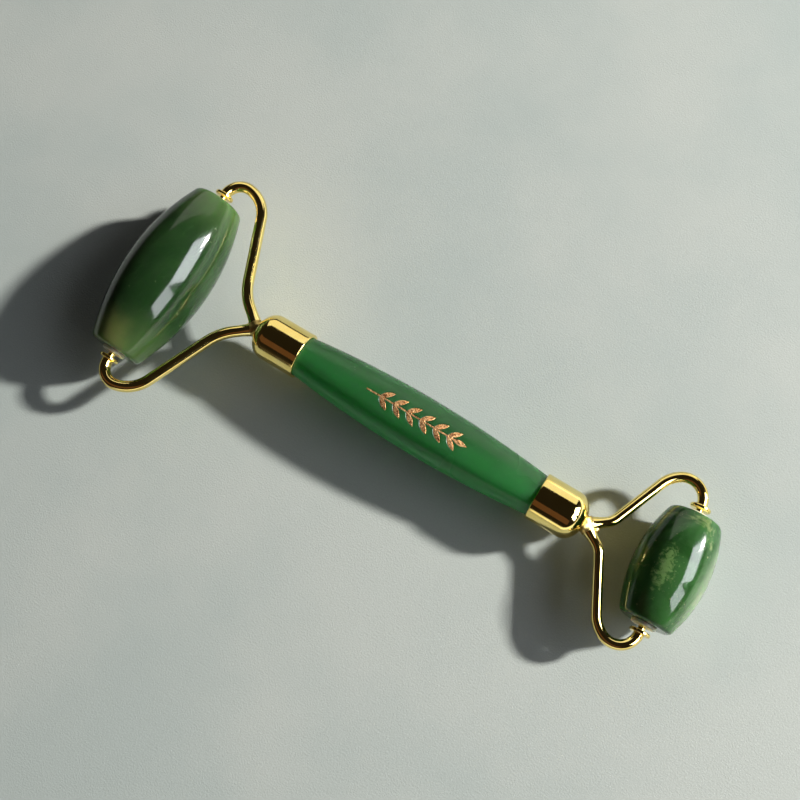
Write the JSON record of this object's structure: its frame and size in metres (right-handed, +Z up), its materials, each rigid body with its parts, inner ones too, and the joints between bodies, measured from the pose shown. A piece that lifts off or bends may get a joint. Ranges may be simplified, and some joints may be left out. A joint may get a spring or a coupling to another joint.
{
  "type": "face roller",
  "caption": "Double-ended stone face roller: a large and a small barrel roller spin in gold plated wire forks at the ends of a barrel-shaped stone handle.",
  "frame": {"origin": "on the surface it lies on, under the middle of the tool", "axes": "+X along the handle from the large roller to the small one, +Y along the roller axes to the left side, +Z up; the tool lies on both rollers"},
  "size_m": [0.145, 0.0568, 0.02],
  "materials": {
    "handle_stone": "satin",
    "large_stone": "polished",
    "small_stone": "polished",
    "gold_plate": "polished",
    "gilt_inlay": "satin",
    "steel": "satin",
    "bush_plastic": "satin"
  },
  "bodies": {
    "frame": {"handle_grip": "handle_stone", "handle_inlay": "gilt_inlay", "large_ferrule": "gold_plate", "small_ferrule": "gold_plate", "large_tang": "steel", "small_tang": "steel", "large_arm_left": "gold_plate", "large_arm_right": "gold_plate", "large_collar_left": "gold_plate", "large_collar_right": "gold_plate", "large_pivot_left": "gold_plate", "large_pivot_right": "gold_plate", "small_arm_left": "gold_plate", "small_arm_right": "gold_plate", "small_collar_left": "gold_plate", "small_collar_right": "gold_plate", "small_pivot_left": "gold_plate", "small_pivot_right": "gold_plate"},
    "large_roller": {"large_roller_stone": "large_stone", "large_bushing_left": "bush_plastic", "large_bushing_right": "bush_plastic"},
    "small_roller": {"small_roller_stone": "small_stone", "small_bushing_left": "bush_plastic", "small_bushing_right": "bush_plastic"}
  },
  "joints": [
    {"name": "large_roller_spin", "type": "hinge", "parent": "frame", "child": "large_roller", "pos_m": [-0.06249, 0, 0.01], "axis": [0, 1, 0], "continuous": true},
    {"name": "small_roller_spin", "type": "hinge", "parent": "frame", "child": "small_roller", "pos_m": [0.06447, 0.00101, 0.008], "axis": [-0.0523, 0.9986, 0.0008], "continuous": true}
  ]
}
